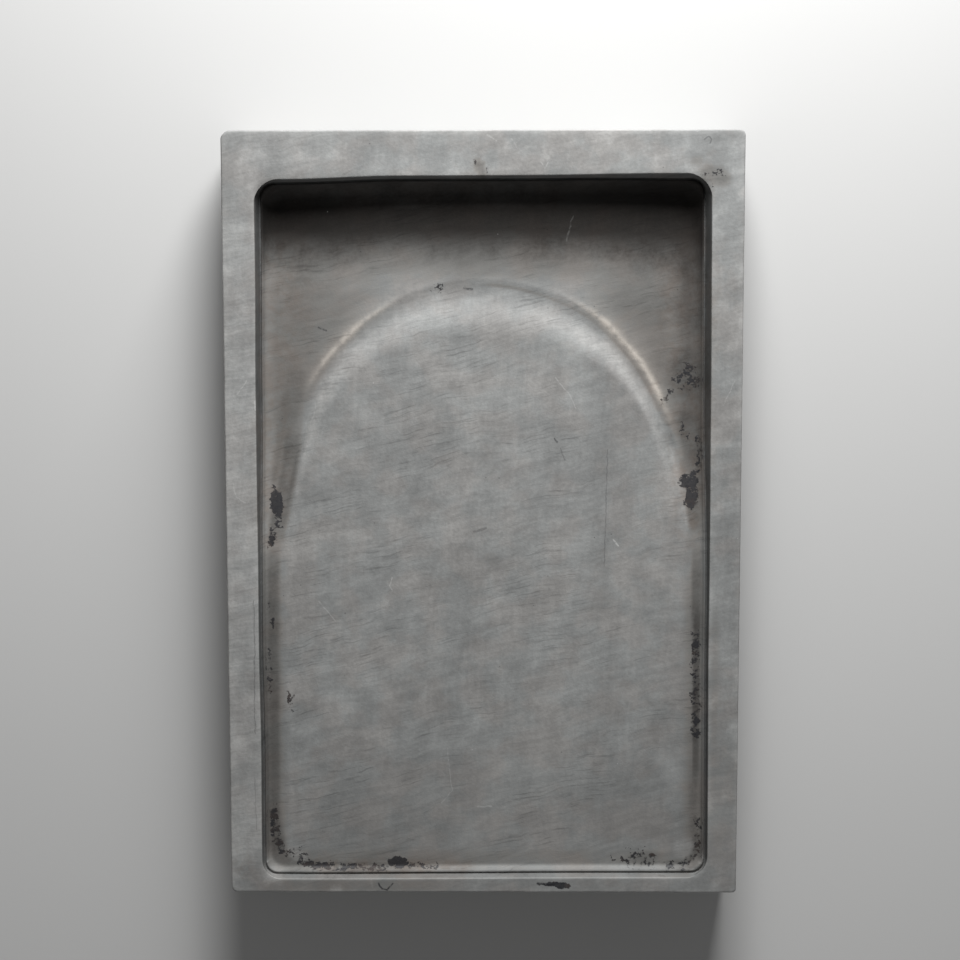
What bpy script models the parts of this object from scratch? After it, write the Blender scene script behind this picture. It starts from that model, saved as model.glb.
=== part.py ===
"""Rectangular slate inkstone for grinding ink, carved from one slab.

Units are metres and +Z is up. The stone lies on its flat underside with the carved face up, centred on
the origin. Its length runs along Y: the ink pool is at the +Y end and the grinding land at the -Y end.
Depths are measured down from the rim, the highest face of the stone.
"""

import math

import bmesh
import bpy

# Slab
WIDTH = 0.136
LENGTH = 0.203
THICKNESS = 0.028
SLAB_CORNER = 0.0013  # radius of the four upright edges
SLAB_EDGE = 0.0006  # soft edge round the rim and the underside

# Well: the carved opening inside the rim. The rim is narrow at the land end and wide at the pool end.
RIM_SIDE = 0.0082
RIM_LAND_END = 0.0035
RIM_POOL_END = 0.0116
WELL_CORNER = 0.0066
LIP = 0.0006  # chamfer along the rim's inner edge

# Land: the flat grinding surface, which ends in an arch towards the pool
LAND_DEPTH = 0.0062
LAND_COVE = 0.0017  # rounded foot where the wall meets the land
ARCH_CENTRE_Y = -0.0056
ARCH_HALF_WIDTH = 0.0568
ARCH_REACH = 0.0686  # from the arch's centre to its apex
TERRACE_DEPTH = 0.0090  # the narrow step round the arch's foot
TERRACE_FALL = 0.0003
SHOULDER_BREAK_DEPTH = 0.0071  # where the shoulder's steep lower band meets its gentle brow

# Insets from the arch's foot, each at its flanks and at its apex, where the bands are wider
TERRACE_INSETS = (0.0027, 0.0044)
BREAK_INSETS = (0.0062, 0.0100)
BROW_INSETS = (0.0098, 0.0145)

# Pool: the bed falls from the land past the arch to the deep trough at the +Y end
GUTTER_DEPTH = 0.0097  # at the arch's foot
POOL_DEPTH = 0.0150
POOL_COVE = 0.0035
FALL_START_Y = -0.0060
FALL_END_Y = 0.0450
TROUGH_START_Y = 0.0620
TROUGH_END_Y = 0.0850

# Shape resolution
SLAB_CORNER_SEGMENTS = 3
SLAB_EDGE_SEGMENTS = 2
CORNER_SEGMENTS = 6
COVE_SEGMENTS = 4
ARCH_SEGMENTS = 96
BED_STEPS = 20

# How far cutters run past the faces that they cut
CLEARANCE = 0.003
BED_START_RISE = 0.0002
BROW_OVERRUN = 1.4  # the brow's slope is carried on past the land, which trims it
SAME_PLACE = 1e-6

SLATE_COLOUR = (0.155, 0.168, 0.166, 1.0)
SLATE_ROUGHNESS = 0.55


def below_rim(depth):
    """Height above the underside of a point at a depth below the rim."""
    return THICKNESS - depth


def smooth_step(value, start, end):
    """0 before start, 1 after end, and an S-shaped rise between them."""
    share = min(max((value - start) / (end - start), 0.0), 1.0)
    return share * share * (3.0 - 2.0 * share)


def fresh_collections():
    """Clears the scene and returns the collections for the object and for its cutters."""
    for old in list(bpy.data.objects):
        bpy.data.objects.remove(old, do_unlink=True)
    made = []
    for name in ("inkstone", "cutters"):
        collection = bpy.data.collections.new(name)
        bpy.context.scene.collection.children.link(collection)
        made.append(collection)
    return made


def slate_material():
    material = bpy.data.materials.new("slate")
    material.use_nodes = True
    shader = material.node_tree.nodes["Principled BSDF"]
    shader.inputs["Base Color"].default_value = SLATE_COLOUR
    shader.inputs["Roughness"].default_value = SLATE_ROUGHNESS
    shader.inputs["Metallic"].default_value = 0.0
    return material


def upright_edges(bm):
    return [e for e in bm.edges if (e.verts[0].co - e.verts[1].co).xy.length < SAME_PLACE]


def edges_at_height(bm, z):
    return [e for e in bm.edges if all(abs(v.co.z - z) < SAME_PLACE for v in e.verts)]


def round_off(bm, edges, radius, segments):
    bmesh.ops.bevel(bm, geom=edges, offset=radius, segments=segments, profile=0.5, affect="EDGES")


def rounded_box(low, high, corner, corner_segments=CORNER_SEGMENTS):
    """A bmesh box between two corner points, with its upright edges rounded."""
    bm = bmesh.new()
    bmesh.ops.create_cube(bm, size=1.0)
    for vert in bm.verts:
        for axis in range(3):
            vert.co[axis] = high[axis] if vert.co[axis] > 0 else low[axis]
    round_off(bm, upright_edges(bm), corner, corner_segments)
    return bm


def to_object(bm, name, collection):
    bmesh.ops.recalc_face_normals(bm, faces=bm.faces)
    mesh = bpy.data.meshes.new(name)
    bm.to_mesh(mesh)
    bm.free()
    made = bpy.data.objects.new(name, mesh)
    collection.objects.link(made)
    return made


def cutter_look(made):
    made.hide_render = True
    made.display_type = "WIRE"
    return made


def cut_away(target, other):
    modifier = target.modifiers.new(f"less_{other.name}", "BOOLEAN")
    modifier.operation = "DIFFERENCE"
    modifier.object = other
    modifier.solver = "EXACT"


def slab(collection):
    """The outer block, with small worn radii on all its edges."""
    half_x, half_y = WIDTH / 2, LENGTH / 2
    bm = rounded_box((-half_x, -half_y, 0.0), (half_x, half_y, THICKNESS), SLAB_CORNER, SLAB_CORNER_SEGMENTS)
    edges = edges_at_height(bm, 0.0) + edges_at_height(bm, THICKNESS)
    round_off(bm, edges, SLAB_EDGE, SLAB_EDGE_SEGMENTS)
    return to_object(bm, "inkstone", collection)


def well_box(inset, bottom_depth, top_depth, corner):
    """A rounded box with the well's outline, moved in by inset on all sides."""
    low = (-WIDTH / 2 + RIM_SIDE + inset, -LENGTH / 2 + RIM_LAND_END + inset, below_rim(bottom_depth))
    high = (WIDTH / 2 - RIM_SIDE - inset, LENGTH / 2 - RIM_POOL_END - inset, below_rim(top_depth))
    return rounded_box(low, high, corner)


def land_cutter(collection):
    """Carves the whole well down to the land, with a cove at the foot of its wall."""
    bm = well_box(0.0, LAND_DEPTH, -CLEARANCE, WELL_CORNER)
    round_off(bm, edges_at_height(bm, below_rim(LAND_DEPTH)), LAND_COVE, COVE_SEGMENTS)
    return cutter_look(to_object(bm, "land_cutter", collection))


def lip_cutter(collection):
    """Chamfers the rim's inner edge. Its lower end is the well's outline and its upper end is wider."""
    bm = well_box(0.0, LIP, -LIP, WELL_CORNER)
    middle_y = (RIM_LAND_END - RIM_POOL_END) / 2
    half_x = WIDTH / 2 - RIM_SIDE
    half_y = (LENGTH - RIM_LAND_END - RIM_POOL_END) / 2
    for vert in bm.verts:
        flare = 2 * LIP if vert.co.z > THICKNESS else 0.0
        vert.co.x *= (half_x + flare) / half_x
        vert.co.y = middle_y + (vert.co.y - middle_y) * (half_y + flare) / half_y
    return cutter_look(to_object(bm, "lip_cutter", collection))


def bed_depth(y):
    """Depth of the bed under the gutters and the pool, at a place along the stone."""
    to_gutter = (GUTTER_DEPTH - LAND_DEPTH) * smooth_step(y, FALL_START_Y, FALL_END_Y)
    to_trough = (POOL_DEPTH - GUTTER_DEPTH) * smooth_step(y, TROUGH_START_Y, TROUGH_END_Y)
    return LAND_DEPTH + to_gutter + to_trough


def bed_block(collection):
    """The stone left under the gutters and the pool: a side profile extruded across the slab.

    Its first point stands a little above the land, so that the bed leaves the land along a clean line.
    """
    end = LENGTH / 2
    steps = [FALL_START_Y + (end - FALL_START_Y) * i / BED_STEPS for i in range(1, BED_STEPS + 1)]
    profile = [(-end, 0.0), (-end, below_rim(0.0)), (FALL_START_Y, below_rim(0.0))]
    profile.append((FALL_START_Y, below_rim(LAND_DEPTH - BED_START_RISE)))
    profile += [(y, below_rim(bed_depth(y))) for y in steps]
    profile.append((end, 0.0))
    bm = bmesh.new()
    face = bm.faces.new([bm.verts.new((-WIDTH / 2, y, z)) for y, z in profile])
    grown = bmesh.ops.extrude_face_region(bm, geom=[face])
    moved = [item for item in grown["geom"] if isinstance(item, bmesh.types.BMVert)]
    bmesh.ops.translate(bm, verts=moved, vec=(WIDTH, 0.0, 0.0))
    return cutter_look(to_object(bm, "bed_block", collection))


def place_ring(verts, circle, insets, depth):
    """Moves a ring of points onto the arch's ellipse, drawn in by its flank and apex insets, at a depth."""
    for vert, (across, along) in zip(verts, circle):
        vert.co.x = (ARCH_HALF_WIDTH - insets[0]) * across
        vert.co.y = ARCH_CENTRE_Y + (ARCH_REACH - insets[1]) * along
        vert.co.z = below_rim(depth)


def overrun(start, end):
    return start + (end - start) * BROW_OVERRUN


def arch_block(collection):
    """The arch: an elliptic disc whose edge climbs from the terrace over the shoulder to the land."""
    above_land = tuple(overrun(start, end) for start, end in zip(BREAK_INSETS, BROW_INSETS))
    tiers = [
        (TERRACE_INSETS, TERRACE_DEPTH),
        (BREAK_INSETS, SHOULDER_BREAK_DEPTH),
        (above_land, overrun(SHOULDER_BREAK_DEPTH, LAND_DEPTH)),
    ]
    bm = bmesh.new()
    bmesh.ops.create_cone(bm, cap_ends=True, segments=ARCH_SEGMENTS, radius1=1.0, radius2=1.0, depth=1.0)
    bm.faces.sort(key=lambda face: face.calc_center_median().z)
    bm.faces.ensure_lookup_table()
    base, cap = bm.faces[0], bm.faces[-1]
    circle = [vert.co.xy.copy() for vert in cap.verts]
    foot_insets = (0.0, 0.0)
    place_ring(base.verts, [vert.co.xy.copy() for vert in base.verts], foot_insets, POOL_DEPTH + CLEARANCE)
    place_ring(cap.verts, circle, foot_insets, TERRACE_DEPTH + TERRACE_FALL)
    for insets, depth in tiers:
        cap = bmesh.ops.extrude_discrete_faces(bm, faces=[cap])["faces"][0]
        place_ring(cap.verts, circle, insets, depth)
    return cutter_look(to_object(bm, "arch_block", collection))


def pool_cutter(collection):
    """Carves the gutters and the pool below the land, and leaves the bed and the arch standing."""
    floor_depth = POOL_DEPTH + POOL_COVE / 4
    bm = well_box(LAND_COVE, floor_depth, LAND_DEPTH - LAND_COVE / 3, WELL_CORNER - LAND_COVE)
    round_off(bm, edges_at_height(bm, below_rim(floor_depth)), POOL_COVE, COVE_SEGMENTS)
    pool = cutter_look(to_object(bm, "pool_cutter", collection))
    cut_away(pool, bed_block(collection))
    cut_away(pool, arch_block(collection))
    return pool


def main():
    part_collection, cutter_collection = fresh_collections()
    stone = slab(part_collection)
    stone.data.materials.append(slate_material())
    for make_cutter in (land_cutter, lip_cutter, pool_cutter):
        cut_away(stone, make_cutter(cutter_collection))
    stone.data.shade_smooth()
    stone.data.set_sharp_from_angle(angle=math.radians(30))


main()
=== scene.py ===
"""Looks of the rectangular slate inkstone: hand-carved surface with wear, dried ink, slate grain,
and painted shade and highlights.

The stone's mesh is built in millimetres in the frame's axes and written to Blender in metres.
Depths are measured down from the rim. +Y is the pool end, and -Y the land end.
"""

import math

import bpy
import numpy as np
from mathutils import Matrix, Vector


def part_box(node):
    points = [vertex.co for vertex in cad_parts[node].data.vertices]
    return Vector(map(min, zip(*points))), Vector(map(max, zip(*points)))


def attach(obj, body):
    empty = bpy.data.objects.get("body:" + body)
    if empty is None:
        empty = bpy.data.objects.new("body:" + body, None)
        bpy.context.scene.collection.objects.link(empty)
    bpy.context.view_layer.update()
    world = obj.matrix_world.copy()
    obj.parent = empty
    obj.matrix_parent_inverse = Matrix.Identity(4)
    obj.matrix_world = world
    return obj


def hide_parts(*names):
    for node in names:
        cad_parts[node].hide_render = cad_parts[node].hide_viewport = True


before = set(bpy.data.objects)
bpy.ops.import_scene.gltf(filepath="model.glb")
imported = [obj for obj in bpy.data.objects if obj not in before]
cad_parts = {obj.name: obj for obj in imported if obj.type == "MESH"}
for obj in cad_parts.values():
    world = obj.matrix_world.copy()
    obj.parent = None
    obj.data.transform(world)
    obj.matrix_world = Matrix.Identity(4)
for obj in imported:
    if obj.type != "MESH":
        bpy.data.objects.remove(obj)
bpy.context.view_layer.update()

MM = 0.001
STONE_LOW, STONE_HIGH = [np.array(corner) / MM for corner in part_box("inkstone")]
HALF_X = (STONE_HIGH[0] - STONE_LOW[0]) / 2
HALF_Y = (STONE_HIGH[1] - STONE_LOW[1]) / 2
HEIGHT = STONE_HIGH[2] - STONE_LOW[2]

# Rim and well outline, in mm: left, right, land end (-Y), pool end (+Y)
RIM_WIDTHS = (7.9, 7.9, 3.65, 11.65)
SLAB_CORNERS = {(-1, 1): 2.3, (1, 1): 1.5, (-1, -1): 1.4, (1, -1): 1.1}
WELL_CORNERS = {(-1, 1): 7.2, (1, 1): 7.4, (-1, -1): 5.8, (1, -1): 6.8}
EDGE_RADIUS = 0.45
LIP_RADIUS = 0.35
LIP_TURN = math.radians(86)  # how far the lip's arc turns down into the wall
CORNER_DECAY = 7.0  # how soon the rings' corner radii shrink inside the well

# Wall inside the rim, at the land end and at the pool end
WALL_DEPTHS = (3.3, 6.4)
WALL_DRAFTS = (0.08, 0.4)
RIGHT_WALL_DRAFT = 0.5
COVE_WIDTHS = (1.4, 3.6)
WALL_CHANGE_Y = (-22.0, 32.0)
NOTCH_DEPTH = 0.6  # the dark carved line between the wall and its cove
NOTCH_WIDTH = 0.65
NOTCH_SHAPE = 0.8  # below 1, its section is fuller than a half wave

# Land, arch and pool
LAND_DEPTH = 5.8
LAND_DISH = 0.35
LAND_FALL = 0.35
LAND_FALL_Y = (-60.0, 55.0)
DISH_CENTRE_Y = -22.0
DISH_HALF = (58.0, 78.0)  # half size of the dished area
ARCH_CENTRE = (-0.1, -5.6)
ARCH_HALF = (56.8, 68.6)  # the ridge's half width, and its reach from the centre to the apex
SHOULDER_START = (6.5, 9.0)  # inside the ridge at the flanks, and how much further at the apex
SHOULDER_END = (3.6, 2.2)  # inside the ridge at the flanks and at the apex
SHOULDER_SHAPE = 1.15  # above 1, its brow is gentler than its foot
APEX_SHAPE = 5  # the higher, the closer to the apex the shoulder widens
TERRACE_DEPTH = 8.75
TERRACE_OVER_BED = 0.12  # the least height of the terrace above the bed
TERRACE_SLOPE = 0.12  # mm down for each mm beyond the ridge
GUTTER_DEPTH = 9.3
POOL_DEPTH = 14.4
GUTTER_FALL_Y = (-12.0, 27.0)
POOL_FALL_Y = (58.0, 90.0)
BED_BLEND = 0.3  # softness of the crease between the arch and the bed
RIDGE_HEIGHT = 0.2
RIDGE_SPREAD = 0.7
GROOVE_OFFSET = -1.9
GROOVE_DEPTH = 0.05
GROOVE_SPREAD = 0.45
RIDGE_DROPS = (1.2, 2.6)  # the ridge appears as the terrace gets this far below the land
RIDGE_AT_APEX = 0.3  # share of its height there
RIDGE_LEFT_END = (math.radians(140), math.radians(158))  # where it dies out on the left

# Waviness of hand work: height, size in mm, seed
WALL_RIPPLE = (0.12, 60.0, 5)
LAND_RIPPLE = (0.05, 35.0, 11)
BED_RIPPLE = (0.08, 28.0, 12)
SHOULDER_RIPPLE = (0.4, 32.0, 21)
ARCH_RIPPLE = (0.18, 26.0, 22)
OUTLINE_RIPPLE_X = (0.1, 45.0, 31)
OUTLINE_RIPPLE_Y = (0.1, 45.0, 32)
CREST_RIPPLE = (0.3, 11.0, 41)
CREST_WIDTH_RIPPLE = (0.12, 9.0, 42)
EDGE_RIPPLE = (0.35, 14.0, 51)
RIPPLE_WAVES = 7
RIPPLE_SIZE_SPREAD = (0.7, 1.6)

TINY = 1e-6


# ---------------------------------------------------------------- small maths

def smooth_step(value, start, end):
    """0 before start, 1 after end, and an S-shaped rise between them."""
    share = np.clip((value - start) / (end - start), 0.0, 1.0)
    return share * share * (3.0 - 2.0 * share)


def mix(low, high, share):
    return low + (high - low) * share


def soft_min(a, b, softness):
    """The lower of two surfaces, with the crease between them rounded."""
    share = np.clip(0.5 + 0.5 * (b - a) / softness, 0.0, 1.0)
    return mix(b, a, share) - softness * share * (1.0 - share)


def bump(value, centre, spread):
    """A bell-shaped rise of 1 about a centre."""
    return np.exp(-(((value - centre) / spread) ** 2))


def ripple(x, y, height, size, seed):
    """Gentle seeded waviness, about a height up and down, with features of a size in mm."""
    rng = np.random.default_rng(seed)
    total = np.zeros(np.broadcast(x, y).shape)
    for _ in range(RIPPLE_WAVES):
        angle = rng.uniform(0.0, 2.0 * math.pi)
        wave = 2.0 * math.pi / (size * rng.uniform(*RIPPLE_SIZE_SPREAD))
        phase = rng.uniform(0.0, 2.0 * math.pi)
        total += np.sin(wave * (x * math.cos(angle) + y * math.sin(angle)) + phase)
    return height * (total / math.sqrt(2.0 * RIPPLE_WAVES))


def arch_place(x, y):
    """Distance in mm outside the arch's ridge line, and the angle round it: 0 right, pi left."""
    across = (x - ARCH_CENTRE[0]) / ARCH_HALF[0]
    along = np.maximum(y - ARCH_CENTRE[1], 0.0) / ARCH_HALF[1]
    size = np.maximum(np.hypot(across, along), TINY)
    slope = np.hypot(across / ARCH_HALF[0], along / ARCH_HALF[1]) / size
    return (size - 1.0) / slope, np.arctan2(along, across)


def box_distance(x, y, low, high, corners):
    """Distance in mm inside a rectangle whose four corners have their own radii."""
    radius = np.zeros(np.broadcast(x, y).shape)
    middle_x, middle_y = (low[0] + high[0]) / 2, (low[1] + high[1]) / 2
    for (side_x, side_y), size in corners.items():
        there = ((x > middle_x) == (side_x > 0)) & ((y > middle_y) == (side_y > 0))
        radius = np.where(there, size, radius)
    over_x = np.abs(x - middle_x) - (high[0] - low[0]) / 2 + radius
    over_y = np.abs(y - middle_y) - (high[1] - low[1]) / 2 + radius
    outside = np.hypot(np.maximum(over_x, 0.0), np.maximum(over_y, 0.0))
    return radius - outside - np.minimum(np.maximum(over_x, over_y), 0.0)


# ---------------------------------------------------------------- the carved surface

WELL_LOW = (-HALF_X + RIM_WIDTHS[0], -HALF_Y + RIM_WIDTHS[2])
WELL_HIGH = (HALF_X - RIM_WIDTHS[1], HALF_Y - RIM_WIDTHS[3])


def well_distance(x, y):
    """How far inside the well's outline a place is, in mm."""
    return box_distance(x, y, WELL_LOW, WELL_HIGH, WELL_CORNERS)


def towards_pool(y):
    """0 along the land and 1 along the pool."""
    return smooth_step(y, *WALL_CHANGE_Y)


def wall_depth(x, y):
    """Depth of the wall's foot."""
    return mix(*WALL_DEPTHS, towards_pool(y)) + ripple(x, y, *WALL_RIPPLE)


def wall_draft(x, y):
    """How far the wall's foot stands in from its top."""
    right = smooth_step(x, 20.0, 55.0) * towards_pool(y)
    return mix(*WALL_DRAFTS, towards_pool(y)) + RIGHT_WALL_DRAFT * right


def land_depth(x, y):
    """The grinding surface: slightly dished by use, and a little lower towards the arch."""
    across = np.clip(1.0 - (x / DISH_HALF[0]) ** 2, 0.0, 1.0)
    along = np.clip(1.0 - ((y - DISH_CENTRE_Y) / DISH_HALF[1]) ** 2, 0.0, 1.0)
    fall = smooth_step(y, *LAND_FALL_Y)
    return LAND_DEPTH + LAND_DISH * (across * along) + LAND_FALL * fall + ripple(x, y, *LAND_RIPPLE)


def bed_depth(x, y):
    """The floor of the side gutters and of the pool."""
    gutter = (GUTTER_DEPTH - LAND_DEPTH - LAND_FALL) * smooth_step(y, *GUTTER_FALL_Y)
    pool = (POOL_DEPTH - GUTTER_DEPTH) * smooth_step(y, *POOL_FALL_Y)
    return land_depth(x, y) + gutter + pool + ripple(x, y, *BED_RIPPLE)


# The ridge's crest wanders off its ellipse: angle round the arch in degrees, and mm outwards
RIDGE_TURNS = (0, 25, 35, 45, 60, 75, 105, 118, 132, 142, 155, 180)
RIDGE_OFFSETS = (-1.3, -1.1, -0.5, 0.1, 0.5, -0.1, 0.0, 0.1, 0.4, 0.4, -0.3, -1.3)


def ridge_line(angle):
    """How far outside its ellipse the ridge's crest runs."""
    return np.interp(np.degrees(angle), RIDGE_TURNS, RIDGE_OFFSETS)


def floor_depth(x, y):
    """Land, shoulder, terrace, ridge, gutter and pool as one surface, without the walls' coves."""
    land, bed = land_depth(x, y), bed_depth(x, y)
    past, angle = arch_place(x, y)
    past = past + ripple(x, y, *ARCH_RIPPLE)
    apex = np.clip(np.sin(angle), 0.0, 1.0)
    start = -(SHOULDER_START[0] + SHOULDER_START[1] * apex**APEX_SHAPE)
    start = start + ripple(x, y, *SHOULDER_RIPPLE)
    end = -mix(*SHOULDER_END, apex)
    down = np.clip((past - start) / (end - start), 0.0, 1.0)
    share = smooth_step(down**SHOULDER_SHAPE, 0.0, 1.0)
    terrace = np.minimum(TERRACE_DEPTH, bed - TERRACE_OVER_BED)
    arch = land + (terrace - land) * share
    crest = ridge_line(angle)
    near_apex = mix(1.0, RIDGE_AT_APEX, smooth_step(apex, 0.8, 1.0))
    soft = near_apex * (1.0 - smooth_step(angle, *RIDGE_LEFT_END))
    alive = smooth_step(terrace - land, *RIDGE_DROPS)
    arch -= RIDGE_HEIGHT * soft * alive * bump(past, crest, RIDGE_SPREAD)
    arch += GROOVE_DEPTH * soft * alive * bump(past, crest + GROOVE_OFFSET, GROOVE_SPREAD)
    arch += TERRACE_SLOPE * np.maximum(past - crest, 0.0)
    return soft_min(arch, bed, BED_BLEND)


def well_depth(x, y, inside):
    """Depth of the carved surface from the foot of the upper wall inwards."""
    floor = floor_depth(x, y)
    width = mix(*COVE_WIDTHS, towards_pool(y))
    start = wall_depth(x, y)
    share = np.clip(inside / width, 0.0, 1.0)
    rise = np.sqrt(np.clip(1.0 - (1.0 - share) ** 2, 0.0, 1.0))
    return start + (floor - start) * rise


# ---------------------------------------------------------------- the mesh

EDGE_RINGS = 5
RIM_RINGS = 9
LIP_RINGS = 4
WALL_RINGS = 5
NOTCH_RINGS = 4
COVE_RINGS = 15
COVE_SPACING = 0.38
DRAFT_FADE_RINGS = 12  # past the last cove ring, over which the wall's draft dies out


def ring_plan():
    """For each ring from the slab's edge inwards: its kind, and its share of that kind."""
    plan = [("edge", i / (EDGE_RINGS - 1)) for i in range(EDGE_RINGS)]
    plan += [("rim", (i + 1) / RIM_RINGS) for i in range(RIM_RINGS)]
    plan += [("lip", (i + 1) / LIP_RINGS) for i in range(LIP_RINGS)]
    plan += [("wall", (i + 1) / WALL_RINGS) for i in range(WALL_RINGS)]
    plan += [("notch", (i + 1) / NOTCH_RINGS) for i in range(NOTCH_RINGS)]
    plan += [("cove", float(i + 1)) for i in range(COVE_RINGS)]
    return plan


RING_PLAN = ring_plan()
RIM_START_RING = EDGE_RINGS - 1
RIM_END_RING = RIM_START_RING + RIM_RINGS
WALL_START_RING = RIM_END_RING + LIP_RINGS
WALL_END_RING = WALL_START_RING + WALL_RINGS
NOTCH_END_RING = WALL_END_RING + NOTCH_RINGS
WALL_PLAN_WIDTH = LIP_RADIUS + WALL_DRAFTS[0] + NOTCH_WIDTH


def ring_inset(kind, share, rim_width):
    """How far in from the slab's side a ring lies, for a side whose rim has that width."""
    if kind == "edge":
        return EDGE_RADIUS * (1.0 - math.cos(share * math.pi / 2))
    if kind == "rim":
        return mix(EDGE_RADIUS, rim_width, share)
    if kind == "lip":
        return rim_width + LIP_RADIUS * math.sin(share * LIP_TURN)
    if kind == "wall":
        return rim_width + LIP_RADIUS + WALL_DRAFTS[0] * share
    if kind == "notch":
        return rim_width + LIP_RADIUS + WALL_DRAFTS[0] + NOTCH_WIDTH * share
    return rim_width + WALL_PLAN_WIDTH + COVE_SPACING * share


def interior_lines(low, high, bands):
    """Grid lines between two places, with the spacing of the band that each is in."""
    lines = []
    edges = [low, *[edge for edge, _ in bands[:-1]], high]
    for (start, end), (_, spacing) in zip(zip(edges[:-1], edges[1:]), bands):
        count = max(1, round((end - start) / spacing))
        lines += [start + (end - start) * i / count for i in range(count)]
    return lines + [high]


def side_lines(low_rim, high_rim, half, bands):
    """Over the grid lines of one axis: places at the rings' insets, and evenly spread places."""
    rings = len(RING_PLAN)
    low = [-half + ring_inset(kind, share, low_rim) for kind, share in RING_PLAN]
    high = [half - ring_inset(kind, share, high_rim) for kind, share in RING_PLAN]
    inner = interior_lines(low[-1], high[-1], bands)[1:-1]
    placed = np.array(low + inner + high[::-1])
    even = placed.copy()
    even[:rings] = np.linspace(-half, low[-1], rings)
    even[-rings:] = np.linspace(high[-1], half, rings)
    return placed, even


# Grid spacing in mm in bands along each axis, each band given by its end
X_BANDS = [(-20.0, 0.48), (20.0, 0.95), (None, 0.48)]
Y_BANDS = [(-8.0, 1.0), (66.0, 0.46), (None, 0.62)]


def stone_grid():
    """Plan places of the top face's grid, each vertex's ring number, and the ring's four sides."""
    x_placed, x_even = side_lines(RIM_WIDTHS[0], RIM_WIDTHS[1], HALF_X, X_BANDS)
    y_placed, y_even = side_lines(RIM_WIDTHS[2], RIM_WIDTHS[3], HALF_Y, Y_BANDS)
    columns, rows = len(x_placed), len(y_placed)
    i, j = np.meshgrid(np.arange(columns), np.arange(rows), indexing="ij")
    ring = np.minimum(np.minimum(i, columns - 1 - i), np.minimum(j, rows - 1 - j))

    def along(index, placed, even):
        """Each ring's places along an axis: the even places, fitted between the ring's sides."""
        low, high = placed[ring], placed[len(placed) - 1 - ring]
        even_low, even_high = even[ring], even[len(even) - 1 - ring]
        even_span = np.maximum(even_high - even_low, TINY)
        return low + (even[index] - even_low) * (high - low) / even_span

    x, y = along(i, x_placed, x_even), along(j, y_placed, y_even)
    sides_x = (x_placed[ring], x_placed[columns - 1 - ring])
    sides_y = (y_placed[ring], y_placed[rows - 1 - ring])
    return x, y, ring, (*sides_x, *sides_y)


def corner_radii(ring, corner):
    """A ring's radius at one corner: from the slab's to the well's over the rim, then less."""
    slab, well = SLAB_CORNERS[corner], WELL_CORNERS[corner]
    share = np.clip((ring - RIM_START_RING) / (RIM_END_RING - RIM_START_RING), 0.0, 1.0)
    inset = np.maximum(ring - RIM_END_RING, 0) * COVE_SPACING
    shrunk = well * np.exp(-inset / CORNER_DECAY)
    return np.where(ring > RIM_END_RING, shrunk, mix(slab, well, share))


def round_corners(x, y, ring, sides):
    """Bends each ring's four corners into arcs."""
    left, right, low, high = sides
    for corner in SLAB_CORNERS:
        corner_x = np.where(corner[0] > 0, right, left)
        corner_y = np.where(corner[1] > 0, high, low)
        from_x = np.abs(x - corner_x)
        from_y = np.abs(y - corner_y)
        radius = corner_radii(ring, corner)
        along = from_x + from_y
        near = along < radius
        angle = np.where(near, math.pi / 4 * (1.0 - along / radius), 0.0)
        flat, steep = radius * (1.0 - np.sin(angle)), radius * (1.0 - np.cos(angle))
        on_row = from_y <= from_x
        new_x = np.where(on_row, flat, steep)
        new_y = np.where(on_row, steep, flat)
        x = np.where(near, corner_x - corner[0] * new_x, x)
        y = np.where(near, corner_y - corner[1] * new_y, y)
    return x, y


def push_inwards(x, y, amount):
    """Moves places further inside the well by an amount, along the outline's normal."""
    step = 0.05
    here = well_distance(x, y)
    slope_x = (well_distance(x + step, y) - here) / step
    slope_y = (well_distance(x, y + step) - here) / step
    length = np.maximum(np.hypot(slope_x, slope_y), TINY)
    return x + amount * slope_x / length, y + amount * slope_y / length


def top_depths(x, y, ring):
    """Depth of each grid vertex, and its place after the wall's draft has moved it."""
    kinds = np.array([kind for kind, _ in RING_PLAN] + ["inside"])
    shares = np.array([share for _, share in RING_PLAN] + [0.0])
    index = np.minimum(ring, len(RING_PLAN))
    kind, share = kinds[index], shares[index]
    extra_draft = wall_draft(x, y) - WALL_DRAFTS[0]
    fade_end = len(RING_PLAN) - 1 + DRAFT_FADE_RINGS
    pushed = np.clip((ring - WALL_START_RING) / (WALL_END_RING - WALL_START_RING), 0.0, 1.0)
    relaxed = np.clip((fade_end - ring) / (fade_end - WALL_END_RING), 0.0, 1.0)
    x, y = push_inwards(x, y, extra_draft * pushed * relaxed)
    start = wall_depth(x, y)
    lip = LIP_RADIUS * (1.0 - np.cos(share * LIP_TURN))
    lip_end = LIP_RADIUS * (1.0 - math.cos(LIP_TURN))
    notch_start = well_distance(x, y) - LIP_RADIUS - WALL_DRAFTS[0] - extra_draft - NOTCH_WIDTH
    depth = well_depth(x, y, np.maximum(notch_start, 0.0))
    notch = start + NOTCH_DEPTH * np.sin(np.pi * np.clip(share, 0.0, 1.0)) ** NOTCH_SHAPE
    worn_edge = EDGE_RADIUS * (1.0 + ripple(x, y, *EDGE_RIPPLE))
    depth = np.where(kind == "edge", worn_edge * (1.0 - np.sin(share * math.pi / 2)), depth)
    depth = np.where(kind == "rim", 0.0, depth)
    depth = np.where(kind == "lip", lip, depth)
    depth = np.where(kind == "wall", mix(lip_end, start, share), depth)
    depth = np.where(kind == "notch", notch, depth)
    return x, y, depth


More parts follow.
